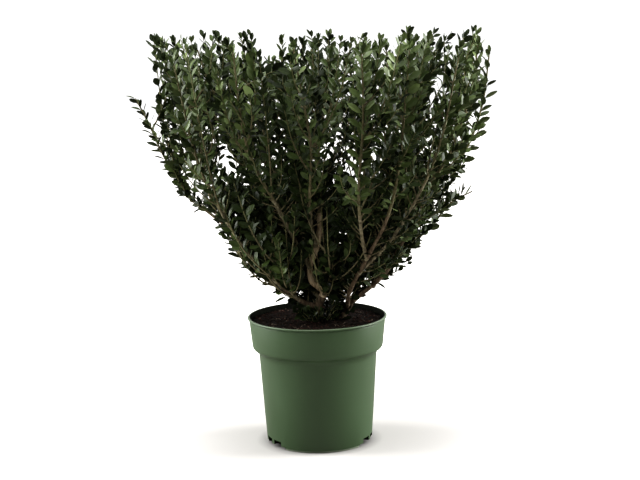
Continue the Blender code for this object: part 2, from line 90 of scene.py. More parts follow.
# Crown outline, a little tighter than that of the solids
# Height, then the reach to the left and to the right of the middle
CROWN_PROFILE = ((0.200, 0.064, 0.072), (0.244, 0.066, 0.078), (0.270, 0.074, 0.117),
                 (0.295, 0.110, 0.150), (0.321, 0.125, 0.164), (0.347, 0.151, 0.183),
                 (0.373, 0.165, 0.211), (0.399, 0.190, 0.232), (0.425, 0.219, 0.238),
                 (0.451, 0.231, 0.247), (0.477, 0.243, 0.258), (0.503, 0.258, 0.270),
                 (0.529, 0.276, 0.284), (0.555, 0.292, 0.283), (0.573, 0.295, 0.285),
                 (0.583, 0.228, 0.286), (0.607, 0.246, 0.274), (0.633, 0.262, 0.274),
                 (0.659, 0.262, 0.276), (0.700, 0.250, 0.278))
# Depth towards the viewer and at the back, as shares of half the width
CROWN_DEPTH = 0.96
BACK_DEPTH = 1.05
CROWN_TOP = 0.678
SHOOT_TOP = 0.662

# Kinds of shoot
LEADER, SHOOT, TWIG, SPUR, SPROUT = range(5)

# Side shoots: SIDE_SHOOTS on a leader of LEADER_LENGTH, more by a factor on CROWDED limbs,
# SPRAY_SHOOTS on a low spray. TALL_SHARE of them grow to the crown's top, FAN leans them out
SHOOT_TURN = math.radians(137.5)
SHOOT_REACH = 0.062
SHOOT_RISE = 0.150
SIDE_SHOOTS = 4.6
LEADER_LENGTH = 0.27
SPRAY_SHOOTS = 8
TALL_SHARE = 0.78
FAN = 1.7
TRIES = 6
MIDDLE_REACH = 1.45
CROWDED = {"trunk": 1.5, "inner_back": 1.5, "inner_right": 1.3, "inner_left": 1.2,
           "back_right": 1.5, "back_centre": 1.3, "back_left": 1.2, "back_left_outer": 1.2,
           "back_right_outer": 1.2, "left_lobe": 1.2, "right_edge": 1.2}

# Twigs, with their spacing on leaders, on crowded limbs and elsewhere, spurs and sprouts
TWIG_REACH = 0.034
TWIG_RISE = 0.075
LEADER_TWIG_GAP = 0.032
CROWDED_TWIG_GAP = 0.045
TWIG_GAP = 0.070
SPUR_STEP = 0.0055
SPUR_FOOT = 0.222
SPUR_TIP = 0.212
SPROUTS = 26

# Radii at the foot and at the tips, and the rings and sides of a twig
FOOT_RADII = {SHOOT: 0.0016, TWIG: 0.0011, SPUR: 0.0010, SPROUT: 0.0010}
LIMB_TIP_RADIUS = 0.0011
TWIG_TIP_RADIUS = 0.0006
TWIG_RING_STEP = 0.009
TWIG_SIDES = 5

# Bark of stems and of boughs: ring step, sides, roughness, flare at the foot and its reach
STEM_BARK = (0.0022, 18, 1.0, 0.75, 0.012)
BOUGH_BARK = (0.003, 10, 0.8, 0.45, 0.006)
# Limbs with another bark: the trunk's brighter bark is painted light, bark_shade on stems in shade
# is painted shade.
BARK_LIT_AND_SHADED = {"trunk": "bark_trunk", "stem_right": "bark_shade", "front_right": "bark_shade",
              "left_mid": "bark_shade"}
# The trunk has bark with painted shade up to this height
DARK_FOOT = 0.243

# Leaves: turn and step along a shoot, usual length, half the thickness, then ranges of size,
# of width as a share of the length, and of the angle to the shoot in degrees
LEAF_TURN = math.radians(144)
LEAF_STEP = 0.0058
LEAF_LENGTH = 0.0213
LEAF_HALF_THICK = 0.00013
LEAF_VIGOUR = (0.78, 1.14)
LEAF_SIZES = (0.84, 1.12)
LEAF_WIDTHS = (0.42, 0.52)
LEAF_ANGLES = (46, 64)

# Leaf outline: stations along the leaf and the half width at each
STATIONS = np.array([0.0, 0.14, 0.36, 0.64, 0.88, 1.0])
HALF_WIDTHS = np.array([0.07, 0.16, 0.84, 1.02, 0.62, 0.10])

# Per kind of shoot: bare length at the foot, leaf size, spacing
SHOOT_KINDS = {LEADER: (0.010, 1.08, 0.82), SHOOT: (0.020, 1.00, 1.00),
               TWIG: (0.010, 0.92, 0.95), SPUR: (0.008, 0.88, 0.95), SPROUT: (0.004, 0.74, 0.72)}

# Masses whose foliage has another name than their limb, and limbs with a fresh green leader
MASS_LABELS = {"trunk": "centre", "stem_right": "right_mid"}
FRESH_LEADERS = ("front", "front_right", "left_front", "front_centre")

# Stems that show from the front: name, lowest and highest point, half width kept free
BARE_STEMS = (("trunk", 0.222, 0.400, 0.012), ("left_inner", 0.336, 0.400, 0.009),
              ("left_mid", 0.242, 0.290, 0.008))

# Limbs seen in the photo: parent, height where it leaves the parent, way points, radius and
# the height where its foliage starts
SEEN_LIMBS = {
    "trunk": (None, SOIL_TOP, (
        (0.002, -0.011, SOIL_TOP - 0.006), (0.001, -0.012, 0.223), (0.011, -0.016, 0.252),
        (-0.008, -0.020, 0.272), (-0.009, -0.024, 0.300), (0.000, -0.030, 0.323),
        (0.007, -0.035, 0.369), (0.008, -0.044, 0.460), (0.001, -0.057, 0.647)), 0.0064, 0.385),
    "stem_right": (None, SOIL_TOP, (
        (0.035, -0.008, SOIL_TOP - 0.006), (0.043, -0.010, 0.212), (0.062, -0.012, 0.238),
        (0.108, -0.020, 0.278), (0.142, -0.025, 0.336), (0.168, -0.025, 0.383),
        (0.175, -0.025, 0.414), (0.216, -0.030, 0.472), (0.252, -0.035, 0.574),
        (0.263, -0.035, 0.647)), 0.0050, 0.425),
    "left_inner": ("trunk", 0.295, (
        (-0.030, -0.045, 0.336), (-0.056, -0.070, 0.393), (-0.111, -0.100, 0.500),
        (-0.154, -0.110, 0.590), (-0.174, -0.115, 0.652)), 0.0040, 0.405),
    "left_front": ("left_inner", 0.345, (
        (-0.058, -0.090, 0.402), (-0.096, -0.150, 0.489), (-0.109, -0.178, 0.563),
        (-0.116, -0.189, 0.650)), 0.0031, 0.415),
    "left_mid": ("trunk", 0.226, (
        (-0.031, -0.020, 0.242), (-0.080, -0.030, 0.288), (-0.130, -0.035, 0.345),
        (-0.163, -0.035, 0.401), (-0.189, -0.025, 0.510), (-0.218, -0.016, 0.641)), 0.0042, 0.400),
    "left_lobe": ("left_mid", 0.318, (
        (-0.128, 0.000, 0.345), (-0.164, 0.014, 0.374), (-0.203, 0.024, 0.408),
        (-0.243, 0.030, 0.469), (-0.270, 0.030, 0.532), (-0.289, 0.030, 0.571)), 0.0031, 0.380),
    "right_inner": ("stem_right", 0.372, (
        (0.152, -0.050, 0.430), (0.146, -0.065, 0.503), (0.158, -0.070, 0.573),
        (0.166, -0.074, 0.645)), 0.0031, 0.430),
    "right_low": ("stem_right", 0.295, (
        (0.142, 0.010, 0.313), (0.165, 0.030, 0.326), (0.193, 0.045, 0.347),
        (0.227, 0.050, 0.385), (0.263, 0.055, 0.403)), 0.0029, 0.330),
    "right_edge": ("stem_right", 0.400, (
        (0.202, 0.008, 0.424), (0.228, 0.040, 0.443), (0.259, 0.070, 0.480),
        (0.285, 0.088, 0.549), (0.296, 0.090, 0.628)), 0.0031, 0.438),
    "front_right": ("stem_right", 0.222, (
        (0.054, -0.044, 0.259), (0.085, -0.100, 0.329), (0.113, -0.135, 0.394),
        (0.130, -0.165, 0.482), (0.145, -0.187, 0.647)), 0.0038, 0.392),
    "front": ("front_right", 0.318, (
        (0.071, -0.128, 0.368), (0.067, -0.170, 0.438), (0.074, -0.208, 0.547),
        (0.073, -0.221, 0.645)), 0.0031, 0.395),
    "front_centre": ("trunk", 0.328, (
        (-0.005, -0.062, 0.361), (-0.008, -0.098, 0.412), (-0.004, -0.145, 0.498),
        (-0.013, -0.168, 0.568), (-0.027, -0.184, 0.653)), 0.0031, 0.400),
    "inner_right": ("stem_right", 0.318, (
        (0.128, 0.020, 0.371), (0.123, 0.050, 0.459), (0.127, 0.065, 0.557),
        (0.123, 0.070, 0.647)), 0.0031, 0.380),
}

# Hidden limbs and low sprays arch from the parent to the tip; a spray is leafy from its foot
HIDDEN_LIMBS = {
    "back_left_outer": ("trunk", 0.240, (-0.230, 0.120, 0.635), 0.0038, 0.370),
    "back_left": ("trunk", 0.262, (-0.145, 0.200, 0.648), 0.0037, 0.380),
    "back_centre": ("trunk", 0.285, (-0.030, 0.240, 0.644), 0.0036, 0.390),
    "back_right": ("stem_right", 0.243, (0.095, 0.225, 0.647), 0.0036, 0.380),
    "back_right_outer": ("stem_right", 0.266, (0.200, 0.180, 0.642), 0.0034, 0.375),
    "inner_back": ("trunk", 0.345, (-0.015, 0.095, 0.650), 0.0031, 0.420),
    "inner_left": ("trunk", 0.312, (-0.100, 0.035, 0.648), 0.0031, 0.400),
    "left_front_outer": ("left_mid", 0.272, (-0.208, -0.148, 0.632), 0.0032, 0.400),
    "right_front_outer": ("front_right", 0.292, (0.222, -0.148, 0.635), 0.0031, 0.440),
}

LOW_SPRAYS = {
    "low_left": ("left_mid", 0.250, (-0.150, 0.040, 0.350), 0.0028),
    "low_right": ("stem_right", 0.258, (0.150, 0.045, 0.345), 0.0028),
    "low_front": ("trunk", 0.246, (0.030, -0.095, 0.350), 0.0028),
    "low_back": ("trunk", 0.218, (-0.020, 0.095, 0.340), 0.0028),
    "low_front_left": ("left_mid", 0.240, (-0.070, -0.080, 0.345), 0.0028),
}

# Shares of the way outwards and up at the two way points of such an arch
ARCH = ((0.38, 0.20), (0.78, 0.56))

# Camera: fitted to the pot's outline in the 640 x 480 photo
CAMERA_PLACE = (0.0, -2.393, 0.7235)
CAMERA_PITCH = math.radians(9.214)
CAMERA_ROLL = math.radians(1.249)
CAMERA_FOCAL_PX = 1480.0
CAMERA_SHIFT_PX = 4.44
PHOTO_WIDTH_PX = 640.0
SENSOR_MM = 36.0

# Softboxes: name, place, target, size and power
SOFTBOXES = (("softbox_left", (-1.9, 0.2, 1.0), (0, 0, 0.35), (1.0, 1.6), 59),
             ("softbox_right", (1.9, 0.2, 1.0), (0, 0, 0.35), (1.0, 1.6), 68),
             ("softbox_top", (-0.3, -0.5, 2.3), (0, 0, 0.5), (0.8, 0.8), 24))

# Narrow lamp from the front left, aimed at the trunk and the lower crown
LAMP_PLACE = (-0.65, -1.55, 0.80)
LAMP_TARGET = (-0.01, 0.0, 0.33)
LAMP_SPREAD = math.radians(17)
LAMP_RADIUS = 0.12
LAMP_POWER = 32


# Curves of limbs and shoots

def smooth(points, steps=6):
    """Catmull-Rom curve through the points."""
    points = [Vector(p) for p in points]
    ends = [2 * points[0] - points[1]] + points + [2 * points[-1] - points[-2]]
    curve = []
    for a, b, c, d in zip(ends, ends[1:], ends[2:], ends[3:]):
        for i in range(steps):
            t = i / steps
            bend = 2 * a - 5 * b + 4 * c - d
            twist = 3 * b - a - 3 * c + d
            curve.append(0.5 * (2 * b + (c - a) * t + bend * t * t + twist * t ** 3))
    curve.append(points[-1])
    return curve


def lengths(curve):
    run = [0.0]
    for a, b in zip(curve, curve[1:]):
        run.append(run[-1] + (b - a).length)
    return run


def at_share(curve, share, run=None):
    """Point and direction at a share of the curve's length."""
    run = run or lengths(curve)
    goal = min(max(share, 0.0), 1.0) * run[-1]
    for i in range(len(curve) - 1):
        if run[i + 1] >= goal or i == len(curve) - 2:
            part = (goal - run[i]) / max(run[i + 1] - run[i], 1e-9)
            return curve[i].lerp(curve[i + 1], part), (curve[i + 1] - curve[i]).normalized()


def share_at_height(curve, height):
    run = lengths(curve)
    for i, (a, b) in enumerate(zip(curve, curve[1:])):
        if b.z >= height:
            part = max(0.0, (height - a.z) / max(b.z - a.z, 1e-9))
            return (run[i] + part * (run[i + 1] - run[i])) / run[-1]
    return 1.0


def arch(start, tip):
    """Way points of a limb that first runs outwards and then turns up."""
    return [Vector((start.x + out * (tip.x - start.x), start.y + out * (tip.y - start.y),
                    start.z + up * (tip.z - start.z))) for out, up in ARCH] + [tip]


def around(along, turn):
    """Direction square to a shoot, at a turn round it."""
    normal = along.orthogonal().normalized()
    return math.cos(turn) * normal + math.sin(turn) * along.cross(normal)


def plan_limbs():
    """Curve, radius, parent and hand-over share of every limb."""
    plan = {}
    rows = dict(SEEN_LIMBS)
    for name, (parent, height, tip, radius, leafy) in HIDDEN_LIMBS.items():
        rows[name] = (parent, height, Vector(tip), radius, leafy)
    for name, (parent, height, tip, radius) in LOW_SPRAYS.items():
        rows[name] = (parent, height, Vector(tip), radius, None)
    for name, (parent, height, way, radius, leafy) in rows.items():
        start = None
        if parent:
            line = plan[parent]["curve"]
            start = at_share(line, share_at_height(line, height))[0]
        if isinstance(way, Vector):
            way = arch(start, way)
        curve = smooth(([start] if start else []) + list(way))
        share = share_at_height(curve, leafy) if leafy else 0.0
        plan[name] = {"curve": curve, "radius": radius, "parent": parent, "share": share}
    return plan


def limb_radius(limb, share):
    return limb["radius"] + (LIMB_TIP_RADIUS - limb["radius"]) * min(share, 1.0) ** 0.9


def inside_crown(point, slack=0.006):
    """True inside the outline that the photo shows, made round in plan."""
    if point.z > CROWN_TOP:
        return False
    rows = zip(CROWN_PROFILE, CROWN_PROFILE[1:])
    low, high = next((pair for pair in rows if point.z <= pair[1][0]), CROWN_PROFILE[-2:])
    part = min(1.0, max(0.0, (point.z - low[0]) / (high[0] - low[0])))
    left = low[1] + (high[1] - low[1]) * part
    right = low[2] + (high[2] - low[2]) * part
    side = (right if point.x > 0 else left) + slack
    depth = (CROWN_DEPTH if point.y < 0 else BACK_DEPTH) * (left + right) / 2 + slack
    return (point.x / side) ** 2 + (point.y / depth) ** 2 <= 1.0


def shoot_curve(leader, share, turn, reach, rise, top, fan):
    """Side shoot that leaves the leader sideways and then turns up, leaning outwards."""
    start, along = at_share(leader, share)
    away = around(along, turn)
    away = Vector((away.x, away.y, 0.3 * away.z)).normalized()
    rise = max(min(rise, top - start.z), 0.02)
    lean = Vector((along.x, along.y, 0.0)) * min(0.4, 0.3 / max(along.z, 0.4))
    lean += fan * Vector((start.x, start.y, 0.0))
    tip = start + away * reach + (lean + Vector((0.0, 0.0, 1.0))) * rise
    bend = start + away * reach * 0.62 + along * 0.30 * (tip - start).length
    return smooth([start, start.lerp(bend, 0.55), bend.lerp(tip, 0.30), tip], 4)


def grow_side_shoots(leader, count, low, high, reach, rise, rng, tall=0.0):
    """Shoots in a spiral up the leader, a share of them as tall as the crown.

    One that would leave the crown is turned on and stands more upright.
    """
    slack = 0.004
    phase = rng.uniform(0, math.tau)
    shoots = []
    for k in range(count):
        share = low + (high - low) * (k + rng.uniform(-0.3, 0.3)) / max(count - 1, 1)
        far = reach * rng.uniform(0.70, 1.2)
        up = rise * rng.uniform(0.60, 1.10)
        top = SHOOT_TOP - 0.055 * rng.random() ** 1.3
        if rng.random() < tall:
            up = 1.0
        for attempt in range(TRIES):
            turn = phase + k * SHOOT_TURN + attempt * math.radians(50)
            fan = FAN * (1.0 - attempt / TRIES)
            curve = shoot_curve(leader, max(share, 0.0), turn, far, up, top, fan)
            if inside_crown(curve[-1], slack) and inside_crown(curve[len(curve) // 2], slack):
                shoots.append(curve)
                break
    return shoots


def grow_mass(name, limb):
    """Leader, side shoots and twigs of one foliage mass as pairs of curve and kind."""
    rng = random.Random(f"{SEED} shoots {name}")
    share = limb["share"]
    leader = [at_share(limb["curve"], share + (1 - share) * i / 12)[0] for i in range(13)]
    total = lengths(leader)[-1]
    crowd = CROWDED.get(name, 1.0)
    count = round(SIDE_SHOOTS * crowd * total / LEADER_LENGTH) if share else SPRAY_SHOOTS
    middle = abs(leader[-1].x) < 0.15 and leader[-1].y > -0.07
    reach = SHOOT_REACH * (MIDDLE_REACH if middle else 1.0)
    sides = grow_side_shoots(leader, count, min(0.06, 0.015 / total), 0.72, reach, SHOOT_RISE,
                             rng, tall=TALL_SHARE if share else 0.0)
    shoots = [(leader, LEADER)] + [(curve, SHOOT) for curve in sides]
    side_gap = CROWDED_TWIG_GAP if name in CROWDED else TWIG_GAP
    for curve, kind in list(shoots):
        gap, low_part = (LEADER_TWIG_GAP, 0.50) if kind == LEADER else (side_gap, 0.40)
        twigs = round(lengths(curve)[-1] * low_part / gap)
        for twig in grow_side_shoots(curve, twigs, 0.08, low_part, TWIG_REACH, TWIG_RISE, rng):
            shoots.append((twig, TWIG))
    return shoots


def grow_spurs(name, limb):
    """Short leafy spurs along the bare part of a limb, fewer towards the viewer."""
    rng = random.Random(f"{SEED} spurs {name}")
    span = lengths(limb["curve"])[-1] * limb["share"]
    behind = limb["curve"][-1].y > 0.02
    step = SPUR_STEP * (0.75 if behind else 1.0)
    spurs = []
    for k in range(int(span / step)):
        share = limb["share"] * (k + rng.uniform(0.2, 0.9)) * step / max(span, 1e-6)
        root, along = at_share(limb["curve"], share)
        if root.z < SPUR_FOOT:
            continue
        away = around(along, rng.uniform(0, math.tau))
        if away.y < -0.35:
            away.y = -away.y
        length = rng.uniform(0.032, 0.100)
        heading = (away * 0.70 + along * 0.35 + Vector((0, 0, 0.45))).normalized()
        tip = root + heading * length
        if tip.z < SPUR_TIP or not inside_crown(tip):
            continue
        middle = root.lerp(tip, 0.5) + (away - heading) * 0.10 * length
        if not hides_stem(middle) and not hides_stem(tip):
            spurs.append((smooth([root, middle, tip], 4), SPUR))
    return spurs


def grow_sprouts():
    """Short sprouts out of the soil and the trunk's foot."""
    rng = random.Random(f"{SEED} sprouts")
    sprouts = []
    for _ in range(SPROUTS):
        turn = rng.uniform(0, math.tau)
        reach = rng.uniform(0.012, 0.032)
        root = Vector((0.006 + reach * math.cos(turn), -0.012 + 0.8 * reach * math.sin(turn),
                       SOIL_TOP - 0.002))
        length = rng.uniform(0.022, 0.046)
        lean = Vector((math.cos(turn), math.sin(turn), 0.0)) * rng.uniform(0.3, 1.3)
        tip = root + (lean + Vector((0, 0, 1.0))).normalized() * length
        middle = root.lerp(tip, 0.5) + Vector((0, 0, 0.08 * length))
        sprouts.append((smooth([root, middle, tip], 4), SPROUT))
    return sprouts


# Meshes

def fast_mesh(name, verts, faces, material_index):
    """Smooth mesh from arrays of points and of equal sized faces."""
    verts = np.asarray(verts, dtype=np.float32)
    faces = np.asarray(faces, dtype=np.int32)
    mesh = bpy.data.meshes.new(name)
    mesh.vertices.add(len(verts))
    mesh.vertices.foreach_set("co", verts.ravel())
    mesh.loops.add(faces.size)
    mesh.loops.foreach_set("vertex_index", faces.ravel())
    mesh.polygons.add(len(faces))
    sides = faces.shape[1]
    mesh.polygons.foreach_set("loop_start", np.arange(0, faces.size, sides, dtype=np.int32))
    mesh.polygons.foreach_set("use_smooth", np.full(len(faces), True))
    mesh.polygons.foreach_set("material_index", np.asarray(material_index, dtype=np.int32))
    mesh.update(calc_edges=True)
    mesh.validate()
    return mesh


def plain_mesh(name, verts, faces):
    mesh = bpy.data.meshes.new(name)
    mesh.from_pydata(verts, [], faces)
    return mesh


def add_object(data, materials=()):
    """Object named as its mesh, light or camera."""
    obj = bpy.data.objects.new(data.name, data)
    bpy.context.scene.collection.objects.link(obj)
    for mat in materials:
        data.materials.append(mat)
    return obj


def circle(radius, sides):
    """Points spaced evenly round the pot's axis."""
    turns = [math.tau * k / sides for k in range(sides)]
    return [(radius * math.cos(turn), radius * math.sin(turn)) for turn in turns]


def tube(points, radii, sides, shape=None, base=0):
    """Rings of points round a curve, and the quads between them, numbered from base."""
    verts = []
    normal = None
    last = len(points) - 1
    for i, point in enumerate(points):
        axis = (points[min(i + 1, last)] - points[max(i - 1, 0)]).normalized()
        normal = normal or axis.orthogonal()
        normal = (normal - axis * normal.dot(axis)).normalized()
        cross = axis.cross(normal)
        for k in range(sides):
            turn = math.tau * k / sides
            out = math.cos(turn) * normal + math.sin(turn) * cross
            verts.append(point + (shape(point, out, radii[i]) if shape else radii[i]) * out)
    quads = []
    for low in range(base, base + last * sides, sides):
        high = low + sides
        for k in range(sides):
            nxt = (k + 1) % sides
            quads.append((low + k, low + nxt, high + nxt, high + k))
    return verts, quads


def evenly(curve, step):
    """Points along the curve about one step apart."""
    run = lengths(curve)
    count = max(3, int(run[-1] / step) + 1)
    return [at_share(curve, i / (count - 1), run)[0] for i in range(count)]


def leaf_surface(leaves):
    """Points and quads of all leaves: upper and lower face, each in two halves."""
    root, along, face, length, width, curl, fold = [np.array(column) for column in zip(*leaves)]
    length, width, curl, fold = [column[:, None] for column in (length, width, curl, fold)]
    side = np.cross(along, face)
    t = STATIONS[None, :]
    half = HALF_WIDTHS[None, :] * width / 2
    rise = curl * length * (t ** 2 - 0.35 * t)
    edge = rise + fold * half
    spine = root[:, None, :] + along[:, None, :] * (t * length)[:, :, None]
    places = []
    for offset, sign in ((1, -1), (1, 1), (-1, 1), (-1, -1)):
        thick = offset * LEAF_HALF_THICK
        middle = spine + face[:, None, :] * (rise + thick)[:, :, None]
        rim = (spine + side[:, None, :] * (sign * half)[:, :, None]
               + face[:, None, :] * (edge + thick * 0.2)[:, :, None])
        if offset * sign > 0:
            places.append(np.stack([middle, rim], axis=2))
        else:
            places.append(np.stack([rim, middle], axis=2))
    points = np.stack(places, axis=1)
    count = len(leaves)
    stations = len(STATIONS)
    block = np.array([(2 * i, 2 * i + 1, 2 * i + 3, 2 * i + 2) for i in range(stations - 1)])
    patch = np.arange(count * 4)[:, None, None] * (2 * stations)
    quads = (patch + block[None, :, :]).reshape(-1, 4)
    return points.reshape(-1, 3), quads


def hides_stem(place):
    """True in front of a stem that the photo shows bare."""
    for name, low_end, high_end, width in BARE_STEMS:
        points = SEEN_LIMBS[name][2]
        if not max(low_end, points[0][2]) < place.z < high_end:
            continue
        low, high = next((a, b) for a, b in zip(points, points[1:]) if b[2] >= place.z)
        part = (place.z - low[2]) / (high[2] - low[2])
        x = low[0] + (high[0] - low[0]) * part
        y = low[1] + (high[1] - low[1]) * part
        if place.y < y + 0.004 and abs(place.x - x) < width:
            return True
    return False


def leaves_on(curve, kind, rng):
    """Leaves in a spiral along one shoot, smaller towards its tip, with up to three at the tip.

    Each leaf is its root, direction, face, length, width, curl and fold.
    """
    run = lengths(curve)
    total = run[-1]
    position, scale, spacing = SHOOT_KINDS[kind]
    slack = 0.035 if kind == LEADER else 0.008
    phase = rng.uniform(0, math.tau)
    vigour = scale * rng.uniform(*LEAF_VIGOUR)
    lift = math.radians(rng.uniform(*LEAF_ANGLES))
    twist = rng.uniform(0.0, 0.65) + (0.4 if kind == LEADER and curve[-1].y < -0.12 else 0.0)
    leaves = []
    k = 0
    while position < total:
        share = position / total
        root, along = at_share(curve, share, run)
        away = around(along, phase + k * LEAF_TURN + rng.uniform(-0.18, 0.18))
        angle = lift + rng.uniform(-0.14, 0.14) - 0.30 * share
        leaf = (math.cos(angle) * along + math.sin(angle) * away).normalized()
        face = turned_to_light(root, along, leaf, twist, rng)
        taper = 1.02 - 0.25 * max(0.0, share - 0.75) / 0.25
        length = LEAF_LENGTH * (vigour * taper * rng.uniform(*LEAF_SIZES))
        width = length * (rng.uniform(*LEAF_WIDTHS) - (0.04 if kind == LEADER else 0.0))
        clear = not hides_stem(root + leaf * length * 0.5)
        if clear and inside_crown(root + leaf * length, slack):
            leaves.append((root, leaf, face, length, width, rng.uniform(-0.16, 0.12),
                           rng.uniform(0.02, 0.42)))
        position += LEAF_STEP * spacing * (1.10 - 0.25 * share) * rng.uniform(0.92, 1.08)
        k += 1
    root, along = at_share(curve, 1.0, run)
    for turn in (0.0, 2.3, 4.4):
        leaf = (along + 0.40 * around(along, phase + turn)).normalized()
        face = turned_to_light(root, along, leaf, twist, rng)
        length = LEAF_LENGTH * vigour * rng.uniform(0.50, 0.82)
        if inside_crown(root + leaf * length, slack):
            leaves.append((root, leaf, face, length, length * 0.48, 0.05, 0.25))
    return leaves


def turned_to_light(root, along, leaf, twist, rng):
    """Direction that a leaf's upper face looks in: up the shoot, outwards and to the sky."""
    outward = Vector((root.x, root.y, 0.0)).normalized()
    face = along * rng.uniform(0.7, 1.1) + outward * (twist + rng.uniform(-0.1, 0.25))
    face += Vector((0.0, 0.0, 0.15))
    face += 0.24 * Vector((rng.uniform(-1, 1), rng.uniform(-1, 1), rng.uniform(-1, 1)))
    return (face - leaf * face.dot(leaf)).normalized()


# Materials

def fill(tree, node, values):
    """Give a node's inputs their values; another node's output is linked instead."""
    for name, value in values.items():
        if isinstance(value, bpy.types.NodeSocket):
            tree.links.new(value, node.inputs[name])
        else:
            node.inputs[name].default_value = value


def new_node(tree, kind, output, values=None, **settings):
    """New node of a kind, as its named output."""
    node = tree.nodes.new("ShaderNode" + kind)
    for name, setting in settings.items():
        setattr(node, name, setting)
    fill(tree, node, values or {})
    return node.outputs[output]


def noise_node(tree, scale, detail, stretch=(1.0, 1.0, 1.0)):
    """Noise in object space, drawn out along the axes by stretch."""
    place = new_node(tree, "TexCoord", "Object")
    place = new_node(tree, "Mapping", "Vector", {"Vector": place, "Scale": stretch})
    return new_node(tree, "TexNoise", "Fac", {"Vector": place, "Scale": scale, "Detail": detail})


def ramp_node(tree, source, stops):
    ramp = tree.nodes.new("ShaderNodeValToRGB")
    elements = ramp.color_ramp.elements
    while len(elements) < len(stops):
        elements.new(0.5)
    for element, (place, color) in zip(elements, stops):
        element.position = place
        element.color = (*color, 1.0)
    fill(tree, ramp, {"Fac": source})
    return ramp.outputs["Color"]


def bump_node(tree, height, strength, distance):
    values = {"Height": height, "Strength": strength, "Distance": distance}
    return new_node(tree, "Bump", "Normal", values)


def multiply_colors(tree, first, second):
    return new_node(tree, "Mix", "Result", {"Factor": 1.0, "A": first, "B": second},
                    data_type="RGBA", blend_type="MULTIPLY")


def fade_node(tree, source, low, high, top):
    """Smooth rise from 0 to top while the source goes from low to high."""
    values = {"Value": source, "From Min": low, "From Max": high, "To Max": top}
    return new_node(tree, "MapRange", "Result", values, interpolation_type="SMOOTHSTEP")


def split_by_ray(tree, lit, seen, output):
    """One shader for the light that bounces, another for what the camera sees."""
    camera = new_node(tree, "LightPath", "Is Camera Ray")
    fill(tree, output, {"Surface": new_node(tree, "MixShader", "Shader",
                                            {"Fac": camera, 1: lit, 2: seen})})


def new_material(name):
    """Material, its node tree and its shader."""
    mat = bpy.data.materials.new(name)
    mat.use_nodes = True
    return mat, mat.node_tree, mat.node_tree.nodes["Principled BSDF"]


def leaf_material(name, color, roughness, specular):
    mat, tree, shader = new_material(name)
    grain = noise_node(tree, 420.0, 2.0)
    rough = ramp_node(tree, grain, [(0.3, (roughness - 0.06,) * 3), (0.7, (roughness + 0.10,) * 3)])
    fill(tree, shader, {"Base Color": (*color, 1.0), "Roughness": rough,
                        "Specular IOR Level": specular,
                        "Normal": bump_node(tree, grain, 0.22, 0.0006)})
    return mat


def grainy_material(name, span, colors, grain, relief, roughness, specular):
    """Material whose relief and colours, spread evenly over a span, follow one noise."""
    mat, tree, shader = new_material(name)
    source = noise_node(tree, *grain)
    step = (span[1] - span[0]) / (len(colors) - 1)
    stops = [(span[0] + i * step, color) for i, color in enumerate(colors)]
    fill(tree, shader, {"Base Color": ramp_node(tree, source, stops), "Roughness": roughness,
                        "Specular IOR Level": specular,
                        "Normal": bump_node(tree, source, *relief)})
    return mat


def bark_material(name, span, *colors, scale=260.0):
    grain = (scale, 6.0, (1.0, 1.0, 0.35))
    return grainy_material(name, span, colors, grain, (0.6, 0.0008), 0.82, 0.25)


def soil_material(name, span, *colors):
    return grainy_material(name, span, colors, (300.0, 8.0), (0.8, 0.0015), 0.95, 0.08)


def pot_material(name, low, high):
    """Moulded plastic with faint level streaks and a few pale scuffs."""
    mat, tree, shader = new_material(name)
    wear = noise_node(tree, 16.0, 6.0, (1.0, 1.0, 0.5))
    streak = noise_node(tree, 14.0, 4.0, (1.0, 1.0, 26.0))
    color = ramp_node(tree, wear, [(0.30, low), (0.70, high)])
    shade = ramp_node(tree, streak, [(0.30, (0.98,) * 3), (0.68, (1.0,) * 3),
                                     (0.80, (1.24, 1.24, 1.27))])
    rough = ramp_node(tree, wear, [(0.3, (0.42,) * 3), (0.7, (0.54,) * 3)])
    relief = bump_node(tree, noise_node(tree, 900.0, 3.0), 0.15, 0.0003)
    fill(tree, shader, {"Base Color": multiply_colors(tree, color, shade), "Roughness": rough,
                        "Specular IOR Level": 0.5, "Normal": relief})
    return mat


